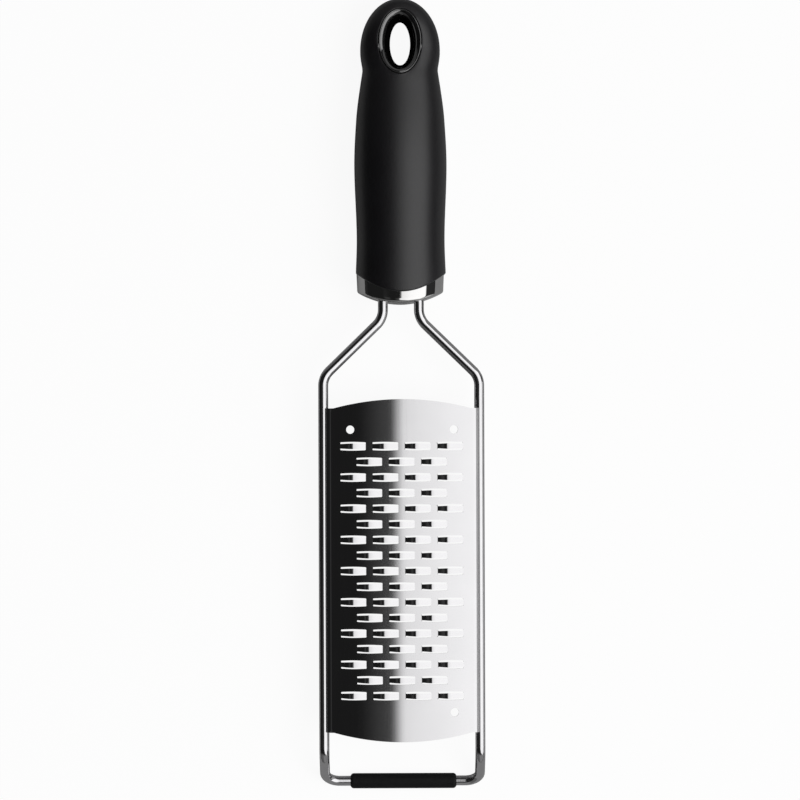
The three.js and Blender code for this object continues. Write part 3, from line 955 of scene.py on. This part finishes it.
# %% Collar band
collar_width, collar_thickness, collar_bow, collar_round = 18.0, 16.1, 4.1, 1.3
collar_low, collar_taper, collar_shift = 0.3, 0.3, -0.25
under_grip, tuck_in = 0.4, 1.6
top_side, low_side = edge_side + under_grip, collar_low + collar_bow + collar_round


def collar_ring(inset, side, dip, taper=0.0):
    """A ring of the collar, dipping at the front and the back."""
    share = soften(np.cos(ring_angles))
    x = collar_shift + (collar_width - inset - taper) * share
    z = (collar_thickness - inset) * soften(np.sin(ring_angles))
    return np.stack([x, collar_at + side - dip * (1 - share**2), z], axis=1)


collar_rings = [collar_ring(tuck_in, top_side, edge_dip)]
for t in np.linspace(0, 1, 7):
    side = top_side + t * (low_side - top_side)
    dip = edge_dip + t * (collar_bow - edge_dip)
    collar_rings.append(collar_ring(0, side, dip, t * collar_taper))
for a in np.linspace(0, math.pi / 2, 9)[1:]:
    inset = collar_round * (1 - math.cos(a))
    side = low_side - collar_round * math.sin(a)
    collar_rings.append(collar_ring(inset, side, collar_bow, collar_taper))
print("rings of the collar:", len(collar_rings))

# %% Collar floor and piece
hole_radius, hole_room, floor_room, socket_depth = 2.15, 2.8, 2.2, 3.0
floor_half = collar_width - collar_round - collar_taper
floor_rim = [(p[0], p[2]) for p in collar_rings[-1]]
hole_ring = circle(hole_radius, 32)
wire_holes = [[(x + cx, y) for x, y in hole_ring] for cx in (-tail_x, tail_x)]
dots = np.array([(x, y) for x in np.linspace(-16, 16, 27) for y in np.linspace(-14, 14, 23)])
dot_x, dot_y = dots.T
floor_x, floor_z = collar_width - floor_room, collar_thickness - floor_room
in_floor = np.hypot(dot_x / floor_x, dot_y / floor_z) < 1
off_holes = np.hypot(np.abs(dot_x) - tail_x, dot_y) > hole_room
dots = dots[in_floor & off_holes]


def floor_height(x):
    return collar_at + collar_low + collar_bow * ((x - collar_shift) / floor_half) ** 2


floor_net, floor_triangles, _ = flat_net(floor_rim, wire_holes, dots)
x, z = floor_net.T
floor_points = np.stack([x, floor_height(x), z], axis=1)
sockets = []
for hole in wire_holes:
    x, z = np.array(hole).T
    mouth = np.stack([x, floor_height(x), z], axis=1)
    sockets.append(skin([mouth, mouth + (0, socket_depth, 0)]))
make_piece("collar", [
    skin(collar_rings),
    (floor_points.tolist(), floor_triangles.tolist()),
    *sockets,
], "collar_cap", polished_cap, sharp_degrees=50)

# %% [markdown]
# ## The foot
# The foot is a length of rubber tube on the lower bar. A profile of half the tube, with rounded
# ends that run a little way into the bore, is turned round the bar.

# %% Foot piece
foot_half, foot_round, foot_shift, bore = 22.0, 1.4, 0.4, wire_radius + 0.1
bore_depth, foot_sides = 2.0, 72
end_steps = quarter_round(foot_round, 9)
right_end = [(foot_half - x, max(foot_radius - inset, bore)) for x, inset in end_steps]
left_end = [(-x, r) for x, r in reversed(right_end)]
bore_end = foot_half - bore_depth
profile = [(-bore_end, bore), *left_end, *right_end, (bore_end, bore)]

turns = np.linspace(0, 2 * math.pi, foot_sides, endpoint=False)
foot_rings = []
for x, r in profile:
    y = foot_axis_at + r * np.cos(turns)
    z = r * np.sin(turns) - foot_drop
    foot_rings.append(np.stack([np.full(foot_sides, x + foot_shift), y, z], axis=1))
make_piece("foot_tube", [skin(foot_rings)], "foot_sleeve", foot_rubber)

# %% [markdown]
# ## Table and studio
# The grater lies on a white table. The table's own glow gives the white of the picture, and a
# share of plain diffuse white keeps the soft shadow under the grater. Rays that carry light to
# other surfaces see only the plain white, so the glow lights nothing.

# %% Table
table_half, table_drop = 3, 0.0002
square = ((-1, -1), (1, -1), (1, 1), (-1, 1))
table_mesh = bpy.data.meshes.new("table")
table_corners = [(x * table_half, y * table_half, 0) for x, y in square]
table_mesh.from_pydata(table_corners, [], [(0, 1, 2, 3)])
table = put("table", table_mesh)
table.location.z = -table_drop
print("table set at z =", table.location.z)

# %% Table finish
paper_white, glow_share = (0.82, 0.82, 0.82, 1), 0.93
table_white = bpy.data.materials.new("table_white")
table_white.use_nodes = True
tree = table_white.node_tree
tree.nodes.clear()


def plug(node, *values):
    """Sets plain numbers on a node's first sockets, links the rest, and returns its output."""
    for socket, value in zip(node.inputs, values):
        if isinstance(value, (int, float)):
            socket.default_value = value
        else:
            tree.links.new(value, socket)
    return node.outputs[0]


def math_node(operation, *values):
    return plug(add("ShaderNodeMath", operation=operation), *values)


def mix_shaders(share, first, second):
    return plug(add("ShaderNodeMixShader"), share, first, second)


paper = add("ShaderNodeBsdfDiffuse")
set_inputs(paper, Color=paper_white)
glow = add("ShaderNodeEmission")
seen = mix_shaders(glow_share, paper.outputs[0], glow.outputs[0])
ray = add("ShaderNodeLightPath").outputs
looks = math_node("MAXIMUM", ray["Is Camera Ray"], ray["Is Glossy Ray"])
looks = math_node("MAXIMUM", looks, ray["Is Transmission Ray"])
surface = mix_shaders(looks, paper.outputs[0], seen)
tree.links.new(surface, add("ShaderNodeOutputMaterial").inputs["Surface"])
table_mesh.materials.append(table_white)
print("table_white nodes:", len(tree.nodes))

# %% [markdown]
# ### Cards
# Bright round metal on a white table loses its outline, because its flanks mirror the table. A
# photographer sets it on a grey board with dark round it, so the flanks get a grey line, stands a
# pale card beside the blade, and puts black under the eye, so that the ring stays black. Here the
# pale card glows by itself, as painted light in place of a lamp on it, and the black card under
# the eye is painted shade that stands in for the shadow under the head. The steel sees these cards
# in place of the table. The camera doesn't: to it the table stays white.

# %% Cards
def set_card(name, corners, grey, glow=0.0):
    """A plain card between corners in millimetres: across, from the foot, and above the table. A
    glow above 0 makes the card shine by itself, as painted light.
    """
    mesh = bpy.data.meshes.new(name)
    places = [(x * MM, (y - overall_length / 2) * MM, z * MM) for x, y, z in corners]
    mesh.from_pydata(places, [], [(0, 1, 2, 3)])
    paint, _ = new_finish(
        name + "_paint", Base_Color=(grey, grey, grey, 1), Roughness=0.9, Specular_IOR_Level=0.0,
        Emission_Color=(1, 1, 1, 1), Emission_Strength=glow)
    mesh.materials.append(paint)
    card = put(name, mesh)
    card.visible_camera = card.visible_diffuse = False
    card.visible_shadow = card.visible_transmission = False
    print(name, "has its first corner at", corners[0], "mm")


def flat_card(name, left, right, low, high, above, grey):
    places = ((left, low), (right, low), (right, high), (left, high))
    set_card(name, [(x, y, above) for x, y in places], grey)


eye_at = collar_at + eye_height
flat_card("dark_board", -3000, 3000, -3000, 3000, 0.3, 0.03)
flat_card("grey_board", -125, 145, -600, overall_length + 80, 0.6, 0.28)
# The black card under the eye is painted shade: it stands in for the shadow under the head, which
# the ring's funnel mirrors.
flat_card("under_eye_shade_card", -16, 16, eye_at - 20, eye_at + 20, 0.9, 0.004)
# The pale card glows by itself: painted light in place of a lamp that would light its face towards
# the grater.
set_card("self_lit_pale_card", [(150, -40, 1), (150, 186, 1), (150, 186, 75), (150, -40, 75)], 0.3, 0.42)

# %% [markdown]
# ### The light tent
# Polished steel is lit by what it reflects. One large soft panel stands on the right, and the
# rest of the tent is dark, apart from two grey ends, which are dimmer on the left, and a faint
# grey on the left, so that the steel isn't black from other sides. The panel's near edge slants
# away towards the foot and steps a little where the collar mirrors it. The world holds that tent:
# it reads only the direction of a ray, so the same tent surrounds the grater from every side. A
# soft lamp over the table, which the steel doesn't mirror, brings the light up to a plain level.

# %% World directions
world = bpy.data.worlds.new("light_tent")
bpy.context.scene.world = world
world.use_nodes = True
tree = world.node_tree
tree.nodes.clear()


def plus(a, b):
    return math_node("ADD", a, b)


def minus(a, b):
    return math_node("SUBTRACT", a, b)


def times(a, b):
    return math_node("MULTIPLY", a, b)


def edge(value, start, end):
    """0 before start and 1 after end, with a soft step between."""
    node = add("ShaderNodeMapRange", interpolation_type="SMOOTHSTEP")
    set_inputs(node, From_Min=start, From_Max=end)
    tree.links.new(value, node.inputs["Value"])
    return node.outputs["Result"]


def band(value, start, end, soft_start, soft_end):
    """1 between start and end and 0 outside, each with its own softness."""
    rising = edge(value, start - soft_start, start + soft_start)
    falling = minus(1.0, edge(value, end - soft_end, end + soft_end))
    return times(rising, falling)


direction = add("ShaderNodeSeparateXYZ")
tree.links.new(add("ShaderNodeTexCoord").outputs["Generated"], direction.inputs[0])
dx, dy, dz = (direction.outputs[k] for k in range(3))
sideways = math_node("DEGREES", math_node("ARCTAN2", dx, dz))
lengthways = math_node("DEGREES", math_node("ARCSINE", dy))
print("nodes for the direction of a ray:", len(tree.nodes))

# %% [markdown]
# The panel is set out in degrees: sideways from straight up to the right, and lengthways towards
# the handle. Soft edges are given by where they start and where they end.

# %% Panel
panel_level, rise_level, toe_level = 1.28, 0.35, 0.065
near_soft, toe_soft, rise_soft, far_soft = (-3.2, 0.9), (-12.5, -3.0), (-4.0, 26.0), (63.0, 67.0)
slant_soft, slant_by = (-42.0, -16.0), 24.0
step_band, step_by = (1.0, 4.0, 0.6, 0.8), 3.2
panel_band = (-38.0, 32.0, 3.0, 2.0)

slant = times(minus(1.0, edge(lengthways, *slant_soft)), slant_by)
upper = band(lengthways, *step_band)
edge_at = minus(minus(sideways, slant), times(upper, step_by))
near_edge = times(edge(edge_at, *near_soft), panel_level)
toe = times(edge(sideways, *toe_soft), times(minus(1.0, upper), toe_level))
far_rise = times(edge(sideways, *rise_soft), rise_level)
past_panel = edge(sideways, *far_soft)
across_panel = times(plus(plus(near_edge, toe), far_rise), minus(1.0, past_panel))
panel = times(across_panel, band(lengthways, *panel_band))
print("nodes with the panel:", len(tree.nodes))

# %% Ends, left side and dark
end_level, far_level, left_level, dark_level = 0.3, 0.02, 0.04, 0.017
end_soft, end_spread = (42.0, 56.0), 0.25
dim_soft, dim_by = (15.0, 40.0), 0.5
left_band, left_long = (-36.0, -22.0, 5.0, 3.0), (-12.0, 0.8, 3.0, 0.6)

to_side = times(math_node("ABSOLUTE", sideways), end_spread)
end_reach = plus(math_node("ABSOLUTE", lengthways), to_side)
dim_left = minus(1.0, times(edge(times(sideways, -1.0), *dim_soft), dim_by))
end_part = times(times(edge(end_reach, *end_soft), dim_left), end_level)
far_part = times(past_panel, far_level)
left_part = times(times(band(sideways, *left_band), band(lengthways, *left_long)), left_level)
level = plus(plus(panel, end_part), plus(plus(far_part, left_part), dark_level))
seen_level = math_node("MAXIMUM", level, add("ShaderNodeLightPath").outputs["Is Camera Ray"])
shine = add("ShaderNodeBackground")
tree.links.new(seen_level, shine.inputs["Strength"])
tree.links.new(shine.outputs[0], add("ShaderNodeOutputWorld").inputs["Surface"])
print("tent nodes:", len(tree.nodes))

# %% Lamp
lamp_data = bpy.data.lights.new("soft_lamp", type="AREA")
lamp_data.shape = "DISK"
lamp_data.size = 1.0
lamp_data.energy = 14.0
lamp = put("soft_lamp", lamp_data)
lamp.location = (0.8, -0.3, 1.4)
lamp.rotation_euler = (Vector((0, 0, 0)) - lamp.location).to_track_quat("-Z", "Y").to_euler()
lamp.visible_camera = lamp.visible_glossy = False
print("lamp stands", round(lamp.location.length, 2), "m from the middle of the table")

# %% [markdown]
# ## Camera
# The photograph looks straight at the grating face from well over a metre away. The distance
# shows in the eye: its throat is deeper than its rim, so it seems to slip a little towards the
# middle of the picture. The camera looks straight down at the grater on its table, with the
# handle up, and is turned by a hair, as the photograph is.

# %% Camera
half_picture, pixels_per_mm, distance = 400, 2.43, 1350.0
aim_x, aim_y, turned = -0.5, -1.9, math.radians(-0.2)
camera_data = bpy.data.cameras.new("camera")
camera_data.sensor_width = 36.0
camera_data.lens = camera_data.sensor_width / 2 * distance / (half_picture / pixels_per_mm)
camera_data.clip_end = 20.0
camera = put("camera", camera_data)
camera.location = (aim_x * MM, aim_y * MM, (wire_plane + distance) * MM)
camera.rotation_euler = (0, 0, turned)
bpy.context.scene.camera = camera
bpy.context.scene.view_settings.view_transform = "Standard"
print("lens:", round(camera_data.lens, 1), "mm")
